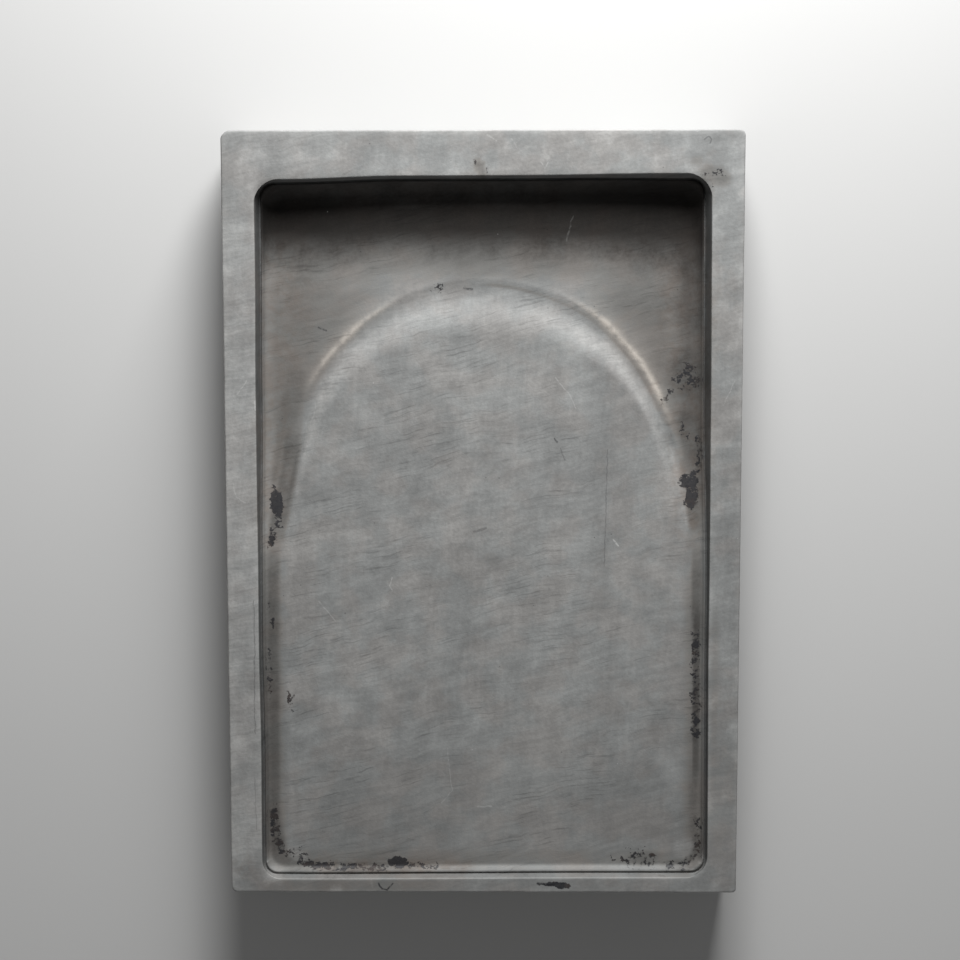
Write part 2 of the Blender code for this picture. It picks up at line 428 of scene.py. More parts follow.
# How the well's hand-cut edges leave true: shifts in mm, leans in mm for each mm along the edge
WARP_REACH = 3.6  # from the slab's sides, which stay true
RIGHT_LEANS = (-0.005, -0.007)  # on the land's side of the middle, and past the shift
RIGHT_SHIFT = 0.2
RIGHT_SHIFT_Y = (-15.0, 10.0)
LEFT_LEAN = 0.003
POOL_LEAN = 0.006
POOL_SHIFTS = (-0.34, 0.72)  # over the whole edge, and right of its left corner
POOL_SHIFT_X = (-50.0, -22.0)
POOL_SAG = 0.16
POOL_SAG_X = (12.0, 24.0)
LAND_LEAN = 0.005


def carve_warp(x, y):
    """The hand-cut outline: sides slightly out of true, wavy inner edges, and a true outside."""
    reach = np.clip(np.minimum(HALF_X - np.abs(x), HALF_Y - np.abs(y)) / WARP_REACH, 0.0, 1.0)
    right = RIGHT_LEANS[0] * np.minimum(y, 0.0) + RIGHT_SHIFT * smooth_step(y, *RIGHT_SHIFT_Y)
    right = right + RIGHT_LEANS[1] * np.maximum(y - RIGHT_SHIFT_Y[1], 0.0)
    left = LEFT_LEAN * np.abs(y)
    pool = POOL_LEAN * x + POOL_SHIFTS[0] + POOL_SHIFTS[1] * smooth_step(x, *POOL_SHIFT_X)
    pool = pool - POOL_SAG * bump(x, *POOL_SAG_X)
    land = LAND_LEAN * x
    shift_x = right * smooth_step(x, 0.0, 55.0) + left * smooth_step(-x, 0.0, 55.0)
    shift_y = pool * smooth_step(y, 20.0, 88.0) + land * smooth_step(-y, 40.0, 96.0)
    shift_x += ripple(x, y, *OUTLINE_RIPPLE_X)
    shift_y += ripple(x, y, *OUTLINE_RIPPLE_Y)
    return x + shift_x * reach, y + shift_y * reach


# ---------------------------------------------------------------- stains, wear and painted light and shade

STROKE_TIP = 10.0  # mm over which a soaked stroke fades at its ends

# Dried ink on the well's floor and the rim: (centre, half size, turn in degrees, coverage)
CRUST_SPOTS = [
    ((54.8, 9.2), (2.3, 2.2), 0, 1.0),
    ((55.6, 5.4), (1.7, 3.3), -8, 1.0),
    ((54.4, 37.0), (3.2, 3.4), 0, 0.42),
    ((-55.3, 3.4), (1.5, 3.8), 8, 1.0),
    ((-56.6, -5.8), (1.1, 2.4), -10, 0.66),
    ((-54.8, -1.4), (1.1, 2.2), 0, 0.3),
    ((-57.7, -23.4), (0.5, 0.9), 0, 0.6),
    ((-56.6, -28.6), (0.5, 1.3), 0, 0.8),
    ((-57.7, -42.0), (0.8, 6.0), 0, 0.36),
    ((-52.0, -50.6), (1.0, 4.6), 0, 0.24),
    ((-51.5, -92.6), (3.0, 1.5), 0, 0.32),
    ((-23.4, -94.9), (2.6, 1.5), 0, 0.85),
    ((42.2, -93.8), (6.0, 2.4), 0, 0.36),
    ((21.0, -99.5), (2.2, 0.85), -4, 0.95),
    ((17.2, -99.1), (2.4, 0.6), -6, 0.6),
    ((60.6, 89.6), (2.8, 1.7), -25, 0.36),
    ((-11.8, 60.8), (1.9, 1.0), 25, 0.4),
]
# Dried ink along lines: (points, half width, coverage)
CRUST_STROKES = [
    ([(55.4, 11.0), (57.3, 12.4), (57.6, 14.8), (57.9, 18.0), (57.0, 20.5)], 0.7, 0.52),
    ([(52.7, 24.8), (53.4, 22.7), (54.9, 20.8)], 0.6, 0.52),
    ([(48.1, 30.2), (50.2, 33.7)], 0.9, 0.42),
    ([(-57.2, -80.0), (-56.6, -87.3), (-55.0, -91.5)], 1.2, 0.5),
    ([(-50.0, -94.5), (-46.0, -95.6), (-38.0, -96.2), (-27.0, -96.3)], 0.95, 0.6),
    ([(-21.0, -95.6), (-13.0, -96.0)], 0.8, 0.4),
    ([(49.5, -95.3), (54.0, -95.6), (57.8, -92.0)], 1.0, 0.5),
    ([(57.8, -82.0), (58.0, -92.5)], 1.0, 0.4),
    ([(57.0, -32.0), (57.2, -60.0)], 1.2, 0.44),
    ([(-1.8, 93.6), (0.6, 90.6)], 0.8, 0.36),
]
# Where the dried ink has flaked off again
FLAKED = ((53.5, 6.4), (0.6, 1.2), 10)

# Ink that has soaked into the stone, in the same two forms
SHADE_SPOTS = [
    ((60.2, 89.8), (4.0, 2.3), -25, 0.42),
    ((55.6, 93.6), (1.8, 1.3), 0, 0.25),
    ((-0.6, 91.8), (1.3, 2.4), 25, 0.45),
    ((2.3, -11.8), (2.8, 1.8), -30, 0.16),
    ((54.5, 37.0), (5.0, 6.0), 0, 0.3),
    ((0.0, -90.0), (60.0, 26.0), 0, 0.08),
]
SHADE_STROKES = [
    ([(-49.0, 42.0), (-51.4, 30.0), (-52.8, 19.0), (-54.3, 9.0), (-55.8, -3.0)], 2.6, 0.24),
    ([(-50.2, 27.0), (-52.2, 11.0), (-54.0, 3.0), (-56.2, -9.0)], 2.2, 0.58),
    ([(54.5, 44.0), (55.2, 30.0), (55.6, 14.0), (56.0, 4.0)], 2.6, 0.3),
    ([(55.2, 12.0), (55.8, 3.0), (56.8, -8.0)], 1.4, 0.4),
    ([(57.0, -6.0), (57.2, -34.0)], 1.2, 0.4),
    ([(57.3, -20.0), (57.3, -48.0), (57.4, -76.0)], 0.9, 0.62),
    ([(57.3, -60.0), (57.8, -80.0), (58.0, -92.0)], 2.0, 0.2),
    ([(64.5, -56.0), (64.5, -97.0)], 4.0, 0.12),
    ([(61.8, -20.0), (61.8, -80.0)], 0.9, 0.16),
    ([(-56.2, -6.0), (-56.6, -34.0), (-56.8, -67.0), (-57.2, -94.0)], 1.6, 0.34),
    ([(-57.6, -80.0), (-55.6, -94.0), (-44.0, -96.4)], 2.2, 0.4),
    ([(-48.0, -96.1), (-12.0, -96.3)], 1.3, 0.3),
    ([(58.4, -84.0), (58.0, -92.0), (55.0, -95.6), (46.0, -96.0)], 1.6, 0.4),
    ([(50.0, -93.5), (37.0, -94.0)], 2.0, 0.3),
    ([(-64.0, -99.7), (-6.0, -99.7)], 1.6, 0.24),
]
# Pale wear on the land, and pale lime where ink has dried and lifted
PALE_SPOTS = [
    ((-4.0, 14.0), (44.0, 30.0), 0, 0.14),
    ((54.2, -90.6), (2.6, 3.0), 10, 0.5),
    ((-50.4, -93.2), (2.4, 1.3), -15, 0.55),
    ((-57.0, -97.5), (3.0, 1.2), -35, 0.4),
    ((-52.0, 96.0), (12.0, 5.0), 0, 0.4),
]
# Brown stain, in the same two forms
BROWN_SPOTS = [
    ((54.5, 20.0), (5.5, 26.0), 0, 0.6),
    ((-56.0, 16.0), (4.5, 26.0), 0, 0.55),
    ((-54.0, 55.0), (7.0, 22.0), 0, 0.45),
    ((54.0, 55.0), (7.0, 22.0), 0, 0.5),
    ((-66.0, -94.0), (5.0, 5.0), 0, 0.4),
]
BROWN_STROKES = [
    ([(-45.0, -95.6), (-4.0, -96.0)], 1.6, 0.6),
    ([(56.0, 2.0), (56.4, -4.0)], 1.4, 0.8),
    ([(51.5, 18.0), (49.5, 25.0), (45.0, 35.0)], 1.7, 0.6),
]


def spot(x, y, centre, size, turn):
    """A soft oval: 1 in its middle, and 0 a little beyond its half size."""
    cosine, sine = math.cos(math.radians(turn)), math.sin(math.radians(turn))
    across = (x - centre[0]) * cosine + (y - centre[1]) * sine
    along = (y - centre[1]) * cosine - (x - centre[0]) * sine
    return smooth_step(1.5 - np.hypot(across / size[0], along / size[1]), 0.0, 0.9)


def stroke(x, y, points, width, tip):
    """A soft brush stroke along a line of points, which fades over a length at both tips."""
    nearest = np.full(x.shape, 1e6)
    along = np.zeros(x.shape)
    drawn = 0.0
    for (start_x, start_y), (end_x, end_y) in zip(points[:-1], points[1:]):
        run_x, run_y = end_x - start_x, end_y - start_y
        length = math.hypot(run_x, run_y)
        share = np.clip(((x - start_x) * run_x + (y - start_y) * run_y) / length**2, 0.0, 1.0)
        gap = np.hypot(x - start_x - share * run_x, y - start_y - share * run_y)
        along = np.where(gap < nearest, drawn + share * length, along)
        nearest = np.minimum(nearest, gap)
        drawn += length
    soft = smooth_step(1.5 - nearest / width, 0.0, 0.9)
    if tip > 0.0:
        reach = min(tip, drawn / 2)
        soft = soft * smooth_step(np.minimum(along, drawn - along), -0.3 * reach, reach)
    return soft


def painted(x, y, spots, strokes, tip=0.0):
    """The strongest of a set of spots and strokes at each place."""
    total = np.zeros(x.shape)
    for centre, size, turn, strength in spots:
        total = np.maximum(total, strength * spot(x, y, centre, size, turn))
    for points, width, strength in strokes:
        total = np.maximum(total, strength * stroke(x, y, points, width, tip))
    return total


def stain_and_shade_field(x, y, inside, past, angle):
    """How dark the stone is made by ink stain, and by painted shade and shadow in the well: 0 is
    clean.
    """
    right = smooth_step(x, -20.0, 40.0)

    # The pool: ink stain with a painted shadow, dark in its trough below the pool-end wall, and
    # darker with painted shade towards its sides and along the right wall
    trough = smooth_step(y, 60.0, 78.0) * (1.0 - 0.24 * smooth_step(y, 80.0, 85.0))
    paler_cove = (1.0 - right) * (1.0 - smooth_step(inside, 2.0, 5.0))
    near_pool = smooth_step(y, 44.0, 72.0)
    side = mix(0.26 + 0.06 * near_pool, 0.30 + 0.16 * near_pool, right)
    side = side * smooth_step(np.abs(x), 22.0, 46.0) * (1.0 - 0.55 * paler_cove)
    pale_foot = right * (1.0 - smooth_step(inside, 1.2, 2.8))
    by_wall = right * (0.3 + 0.3 * smooth_step(y, 34.0, 54.0))
    by_wall = by_wall * (1.0 - smooth_step(inside, 5.0, 11.0)) * (1.0 - 0.65 * pale_foot)
    pool_stain_and_shadow = 1.0 - 0.9 * (1.0 - trough) * (1.0 - side) * (1.0 - by_wall)
    pool = smooth_step(past, -3.5, 1.5) * smooth_step(y, -14.0, 12.0) * pool_stain_and_shadow

    # The land: a darker band along the foot of its side walls
    foot = mix(0.45, 0.38, right) * (1.0 - smooth_step(inside, 3.0, 8.0))
    foot = foot * smooth_step(-y, -5.0, 30.0) * smooth_step(y, -99.0, -88.0)
    foot = foot * (1.0 - 0.45 * pale_foot)
    in_well = np.where(inside > 0.0, np.maximum(foot, pool), 0.0)

    # Painted shade in the groove inside the ridge, on the right of the arch
    turn = np.degrees(angle)
    groove = bump(past, ridge_line(angle) - 1.5, 0.4)
    groove = groove * smooth_step(turn, 28.0, 42.0) * (1.0 - smooth_step(turn, 82.0, 96.0))
    darkened = painted(x, y, SHADE_SPOTS, SHADE_STROKES, STROKE_TIP)
    return 1.0 - (1.0 - in_well) * (1.0 - darkened) * (1.0 - 0.3 * groove)


# The pale rubbed band along the shoulder's brow: angle round the arch in degrees, mm outside the
# ridge's ellipse, half width in mm, and strength
BROW_TURNS = (0, 15, 45, 60, 75, 90, 105, 120, 135, 150, 165, 180)
BROW_PLACES = (-5.5, -5.5, -5.0, -5.6, -6.8, -8.4, -6.2, -5.4, -3.8, -5.0, -6.2, -6.0)
BROW_WIDTHS = (1.2, 1.3, 1.4, 2.2, 2.8, 3.0, 2.6, 3.0, 2.4, 1.4, 1.3, 1.2)
BROW_STRENGTHS = (0.0, 0.55, 0.9, 0.7, 0.35, 0.25, 0.25, 0.45, 0.65, 0.6, 0.55, 0.0)


def worn_field(past, angle):
    """Where rubbing has left the stone pale along the arch's shoulder."""
    turn = np.degrees(angle)
    rows = (BROW_PLACES, BROW_WIDTHS, BROW_STRENGTHS)
    place, width, strength = [np.interp(turn, BROW_TURNS, row) for row in rows]
    return strength * bump(past, place, width)


def cream_field(x, y, past, angle):
    """The ridge's crest on both sides of the arch: warm cream stone from wear, with a painted
    highlight along its line and a wide painted halo of light.
    """
    turn = np.degrees(angle)
    right = smooth_step(turn, 24.0, 36.0) * (1.0 - smooth_step(turn, 54.0, 70.0))
    left = smooth_step(turn, 110.0, 124.0) * (1.0 - smooth_step(turn, 134.0, 148.0))
    crest = ridge_line(angle) + ripple(x, y, *CREST_RIPPLE)
    # The line is a painted highlight on cream stone, and the halo a wide painted glow of light
    # around it
    line = bump(past, crest + 0.1, 0.85 + ripple(x, y, *CREST_WIDTH_RIPPLE))
    halo = bump(past, crest + 0.4, 2.2)
    return (right + 0.75 * left) * (0.7 * line + 0.25 * halo)


def surface_fields(x, y, ring):
    """Soft 0 to 1 fields over the top face that the material reads."""
    inside = well_distance(x, y)
    past, angle = arch_place(x, y)
    on_floor = np.where(ring >= NOTCH_END_RING, np.maximum(inside, 0.01), 0.0)
    on_wall = smooth_step(ring, WALL_START_RING - 2, WALL_START_RING + 1)
    on_wall = on_wall * (1.0 - smooth_step(ring, NOTCH_END_RING - 1, NOTCH_END_RING + 2))
    on_rim = 1.0 - smooth_step(ring, WALL_START_RING - 4, WALL_START_RING)
    # Painted highlights: along the well's lip, and along the slab's rounded outer edge, which is
    # partly wear
    lip = bump(ring, WALL_START_RING - 3, 2.0)
    edge = 1.0 - smooth_step(ring, EDGE_RINGS - 2, EDGE_RINGS + 1)
    land_end = 1.0 - smooth_step(y, -98.0, -88.0)
    # Painted shade on the well's inner walls, with some ink stain; lighter at the land end and near
    # the pool's end wall
    shaded_and_stained_wall = on_wall * mix(1.0, 0.3, land_end) * (1.0 - 0.5 * smooth_step(y, 82.0, 89.0))
    left_rim = 0.5 * on_rim * smooth_step(-x, 52.0, 62.0)
    left_rim = left_rim * smooth_step(y, -100.0, -84.0) * (1.0 - smooth_step(y, 60.0, 98.0))
    pale = painted(x, y, PALE_SPOTS, [])
    wear_and_highlight = worn_field(past, angle) + 0.4 * edge + 0.15 * lip + left_rim + pale
    crust = painted(x, y, CRUST_SPOTS, CRUST_STROKES)
    return {
        "top": np.ones(x.shape),
        "rim": on_rim,
        "stain_and_shade": stain_and_shade_field(x, y, on_floor, past, angle),
        "wall_shade_and_stain": shaded_and_stained_wall,
        "wear_and_highlight": np.clip(wear_and_highlight, 0.0, 1.0),
        "cream": np.clip(cream_field(x, y, past, angle), 0.0, 1.0),
        "crust": crust * (1.0 - on_wall) * (1.0 - spot(x, y, *FLAKED)),
        "brown": painted(x, y, BROWN_SPOTS, BROWN_STROKES),
    }


# ---------------------------------------------------------------- sides and underside

SIDE_RINGS = 9
BASE_RINGS = 4
BASE_RADIUS = 0.6
BASE_FLAT_INSET = 2.0


def loop_indices(columns, rows):
    """The grid's outer ring of vertices in order, as flat indices."""
    index = np.arange(columns * rows).reshape(columns, rows)
    return np.concatenate([index[:-1, 0], index[-1, :-1], index[:0:-1, -1], index[0, :0:-1]])


def inwards(points, inset):
    """A plan outline drawn towards the middle by an inset on each side."""
    scale = np.array([(HALF_X - inset) / HALF_X, (HALF_Y - inset) / HALF_Y])
    return points * scale


def lower_rings(outline):
    """Rings of points down the sides, round the lower edge and onto the underside."""
    top, bottom = HEIGHT - EDGE_RADIUS, BASE_RADIUS
    rings = []
    for step in range(1, SIDE_RINGS + 1):
        z = mix(top, bottom, step / SIDE_RINGS)
        rings.append(np.column_stack([outline, np.full(len(outline), z)]))
    for step in range(1, BASE_RINGS + 1):
        angle = math.pi / 2 * step / BASE_RINGS
        plan = inwards(outline, BASE_RADIUS * (1.0 - math.cos(angle)))
        z = BASE_RADIUS * (1.0 - math.sin(angle))
        rings.append(np.column_stack([plan, np.full(len(outline), z)]))
    flat = inwards(outline, BASE_FLAT_INSET)
    rings.append(np.column_stack([flat, np.zeros(len(outline))]))
    return rings


def build_stone():
    """The whole stone as one closed mesh."""
    x, y, ring, sides = stone_grid()
    x, y = round_corners(x, y, ring, sides)
    x, y, depth = top_depths(x, y, ring)
    x, y = carve_warp(x, y)
    fields = surface_fields(x, y, ring)
    columns, rows = x.shape
    top = np.column_stack([x.ravel(), y.ravel(), (HEIGHT - depth).ravel()])
    index = np.arange(columns * rows).reshape(columns, rows)
    corners = [index[:-1, :-1], index[1:, :-1], index[1:, 1:], index[:-1, 1:]]
    faces = np.stack(corners, axis=-1).reshape(-1, 4).tolist()
    points = [top]
    previous = loop_indices(columns, rows)
    total = len(top)
    for ring_points in lower_rings(top[previous][:, :2]):
        points.append(ring_points)
        current = total + np.arange(len(ring_points))
        total += len(ring_points)
        following, current_following = np.roll(previous, -1), np.roll(current, -1)
        faces += np.column_stack([following, previous, current, current_following]).tolist()
        previous = current
    faces.append(previous[::-1].tolist())
    mesh = bpy.data.meshes.new("inkstone_surface")
    mesh.from_pydata((np.concatenate(points) * MM).tolist(), [], faces)
    mesh.validate()
    mesh.update()
    stone = bpy.data.objects.new("inkstone_body", mesh)
    bpy.context.scene.collection.objects.link(stone)
    mesh.shade_smooth()
    mesh.polygons[len(faces) - 1].use_smooth = False
    for name, values in fields.items():
        attribute = mesh.attributes.new(name, "FLOAT", "POINT")
        below_top = np.zeros(total - values.size)
        attribute.data.foreach_set("value", np.concatenate([values.ravel(), below_top]))
    return stone


# ---------------------------------------------------------------- slate material

class Wiring:
    """Short ways to add and join the nodes of one tree."""

    def __init__(self, tree):
        self.tree = tree

    def node(self, kind, inputs, output=0, **settings):
        """Adds a node, links or sets its inputs, and returns one of its outputs."""
        made = self.tree.nodes.new(kind)
        for name, value in settings.items():
            setattr(made, name, value)
        for key, value in inputs.items():
            if isinstance(value, bpy.types.NodeSocket):
                self.tree.links.new(value, made.inputs[key])
            else:
                made.inputs[key].default_value = value
        return made.outputs[output]

    def math(self, operation, *values, clamp=False):
        inputs = dict(enumerate(values))
        return self.node("ShaderNodeMath", inputs, operation=operation, use_clamp=clamp)

    def vector(self, operation, *values, output=0):
        inputs = dict(enumerate(values))
        return self.node("ShaderNodeVectorMath", inputs, output, operation=operation)

    def product(self, *values):
        total = values[0]
        for value in values[1:]:
            total = self.math("MULTIPLY", total, value)
        return total

    def ramp(self, value, low, high, out_low=0.0, out_high=1.0):
        inputs = {0: value, 1: low, 2: high, 3: out_low, 4: out_high}
        return self.node("ShaderNodeMapRange", inputs, interpolation_type="SMOOTHSTEP")

    def noise(self, place, scale, detail=3.0, roughness=0.55):
        inputs = {"Vector": place, "Scale": scale, "Detail": detail, "Roughness": roughness}
        return self.node("ShaderNodeTexNoise", inputs)

    def layer(self, place, size, turn, detail, roughness):
        """Noise with features of a size in mm on axes turned about Z."""
        return self.noise(self.stretched(place, size, turn), 1.0, detail, roughness)

    def jitter(self, place, scale, detail, amount):
        """A vector that wanders from place to place, between 0 and an amount on each axis."""
        inputs = {"Vector": place, "Scale": scale, "Detail": detail}
        return self.scaled(self.node("ShaderNodeTexNoise", inputs, 1), amount)

    def stretched(self, place, size, turn):
        """Places divided by a size on axes turned about Z, which draws out a pattern of size 1."""
        inputs = {"Vector": place, "Rotation": (0.0, 0.0, math.radians(turn)), "Scale": size}
        return self.node("ShaderNodeMapping", inputs, vector_type="TEXTURE")

    def field(self, name):
        """One of the soft fields painted on the mesh."""
        return self.node("ShaderNodeAttribute", {}, 2, attribute_name=name)

    def blend(self, share, first, second):
        """Mixes two colours, each a socket or three numbers."""
        sides = [(*side, 1.0) if isinstance(side, tuple) else side for side in (first, second)]
        return self.node("ShaderNodeMix", {0: share, 6: sides[0], 7: sides[1]}, 2, data_type="RGBA")

    def scaled(self, vector, amount):
        return self.node("ShaderNodeVectorMath", {0: vector, 3: amount}, operation="SCALE")

    def sum(self, *values):
        total = values[0]
        for value in values[1:]:
            total = self.math("ADD", total, value)
        return total

    def darker(self, mask, amount):
        """A factor of 1, less a mask's share of an amount."""
        return self.math("MULTIPLY_ADD", mask, -amount, 1.0)

    def tint(self, value, low, high, first, last, mask=1.0):
        """A factor from first to last as a pattern goes from low to high, where a mask is 1."""
        change = self.ramp(value, low, high, first - 1.0, last - 1.0)
        return self.math("MULTIPLY_ADD", change, mask, 1.0)

    def specks(self, place, spacing, size, share):
        """Small round spots about a spacing apart, in a share of the cells."""
        cells = self.tree.nodes.new("ShaderNodeTexVoronoi")
        self.tree.links.new(place, cells.inputs["Vector"])
        cells.inputs["Scale"].default_value = 1.0 / spacing
        near = self.ramp(cells.outputs["Distance"], size / spacing, 0.5 * size / spacing)
        draw = self.node("ShaderNodeSeparateColor", {0: cells.outputs["Color"]})
        return self.product(near, self.math("LESS_THAN", draw, share))


SLATE_COOL = (0.206, 0.211, 0.208)
SLATE_WARM = (0.216, 0.212, 0.205)
PALE_WEAR_AND_HIGHLIGHT = (0.292, 0.290, 0.283)
RIDGE_CREAM = (0.42, 0.385, 0.345)
CRUST_BLACK = (0.016, 0.016, 0.019)
CRUST_BROWN = (0.034, 0.026, 0.024)
CHALK = (0.42, 0.42, 0.41)

# What stains and painted shade leave of the stone's red, green and blue
STAIN_AND_SHADE_EDGE_TINT = (1.02, 0.985, 0.955)
STAIN_AND_SHADE_TINT = (0.115, 0.105, 0.10)
BROWN_TINT = (0.86, 0.76, 0.70)
WALL_SHADE_AND_STAIN_SHARE = 0.72
WALL_SHADE_AND_STAIN_LEAVES = 0.2
HALO_LEAVES = 0.45

# Patterns in the slate: size in mm on their own axes, turn about Z in degrees, detail, roughness
FINE_STREAKS = ((9.0, 0.6, 6.0), 12, 4.0, 0.68)
BROAD_STREAKS = ((15.0, 2.2, 12.0), 14, 4.0, 0.66)
BRUSH_MARKS = ((1.5, 16.0, 9.0), -4, 3.0, 0.6)
STREAK_PATCHES = ((30.0, 12.0, 16.0), 16, 2.0, 0.55)
SIDE_STRATA = ((26.0, 26.0, 1.1), 0, 3.0, 0.6)
SAW_MARKS = ((2.2, 2.2, 5.0), 0, 4.0, 0.7)
STREAK_DRIFT = 6.0  # mm
LINE_WANDER = 0.9  # mm

ROUGHNESS = 0.6
SPECULAR = 0.3
GRAIN_HEIGHT = 0.05  # mm
CRUST_HEIGHT = 0.05  # mm

# Hairlines on the top: (points, half width in mm, strength)
DARK_LINES = [
    ([(33.1, 17.9), (32.8, 4.2), (32.4, -13.4)], 0.12, 0.36),
    ([(-28.2, -99.0), (-27.4, -100.5), (-26.0, -100.9), (-24.6, -99.1)], 0.22, 0.9),
    ([(14.5, -98.9), (18.5, -99.3)], 0.25, 0.9),
    ([(57.2, 98.9), (58.2, 99.8), (59.1, 99.2), (58.8, 98.0)], 0.16, 0.45),
    ([(19.0, 20.8), (19.7, 19.9)], 0.22, 0.6),
    ([(20.6, 18.2), (21.8, 15.0)], 0.16, 0.35),
    ([(-2.4, -4.2), (0.6, -3.2)], 0.3, 0.4),
    ([(-5.0, 60.6), (-2.8, 60.5)], 0.28, 0.7),
    ([(-43.8, 50.2), (-41.8, 49.5)], 0.25, 0.65),
    ([(-61.0, -22.0), (-60.8, -34.0), (-61.2, -47.0), (-61.0, -58.0)], 0.16, 0.4),
    ([(-61.3, -70.0), (-61.0, -84.0)], 0.14, 0.25),
]
LIGHT_LINES = [
    ([(19.2, 36.8), (22.3, 33.4), (24.7, 28.8)], 0.15, 0.35),
    ([(-44.2, -23.0), (-39.8, -28.3)], 0.14, 0.29),
    ([(34.8, -6.4), (36.0, -7.9)], 0.20, 0.63),
    ([(-24.4, -16.6), (-25.1, -18.8), (-24.4, -20.2)], 0.15, 0.42),
    ([(23.8, 79.6), (22.1, 73.0)], 0.19, 0.12),
    ([(15.1, 93.4), (16.1, 91.7), (16.9, 93.2)], 0.15, 0.25),
    ([(1.2, 100.2), (3.5, 98.6)], 0.22, 0.3),
    ([(7.5, 99.2), (8.8, 97.2)], 0.2, 0.25),
    ([(-65.9, 9.4), (-65.0, 5.9), (-62.8, 4.4)], 0.17, 0.35),
    ([(-64.6, 33.0), (-62.0, 36.5)], 0.12, 0.35),
    ([(-59.9, 31.2), (-59.7, 29.0)], 0.26, 0.63),
    ([(63.0, 30.0), (66.0, 36.5)], 0.12, 0.28),
    ([(-9.8, -63.0), (-8.6, -75.0), (-11.4, -78.4)], 0.12, 0.21),
    ([(-1.6, -79.6), (2.2, -79.4)], 0.22, 0.28),
    ([(-47.0, 20.0), (-44.6, 30.0)], 0.11, 0.21),
]


def segment_group():
    """A node group that gives the distance from a place to a line segment."""
    tree = bpy.data.node_groups.new("segment_distance", "ShaderNodeTree")
    for name in ("Place", "Start", "Run"):
        tree.interface.new_socket(name, in_out="INPUT", socket_type="NodeSocketVector")
    tree.interface.new_socket("Distance", in_out="OUTPUT", socket_type="NodeSocketFloat")
    wire = Wiring(tree)
    given = tree.nodes.new("NodeGroupInput")
    result = tree.nodes.new("NodeGroupOutput")
    offset = wire.vector("SUBTRACT", given.outputs["Place"], given.outputs["Start"])
    run = given.outputs["Run"]
    length = wire.vector("DOT_PRODUCT", run, run, output=1)
    along = wire.vector("DOT_PRODUCT", offset, run, output=1)
    share = wire.math("DIVIDE", along, length, clamp=True)
    gap = wire.vector("SUBTRACT", offset, wire.scaled(run, share))
    tree.links.new(wire.vector("LENGTH", gap, output=1), result.inputs[0])
    return tree


def hairlines(wire, group, place, lines):
    """A mask of thin lines, each with its own strength."""
    mask = 0.0
    for points, width, strength in lines:
        for (start_x, start_y), (end_x, end_y) in zip(points[:-1], points[1:]):
            made = wire.tree.nodes.new("ShaderNodeGroup")
            made.node_tree = group
            wire.tree.links.new(place, made.inputs["Place"])
            made.inputs["Start"].default_value = (start_x, start_y, 0.0)
            made.inputs["Run"].default_value = (end_x - start_x, end_y - start_y, 0.0)
            line = wire.ramp(made.outputs[0], width * 1.6, width * 0.4, 0.0, strength)
            mask = wire.math("MAXIMUM", mask, line)
    return mask


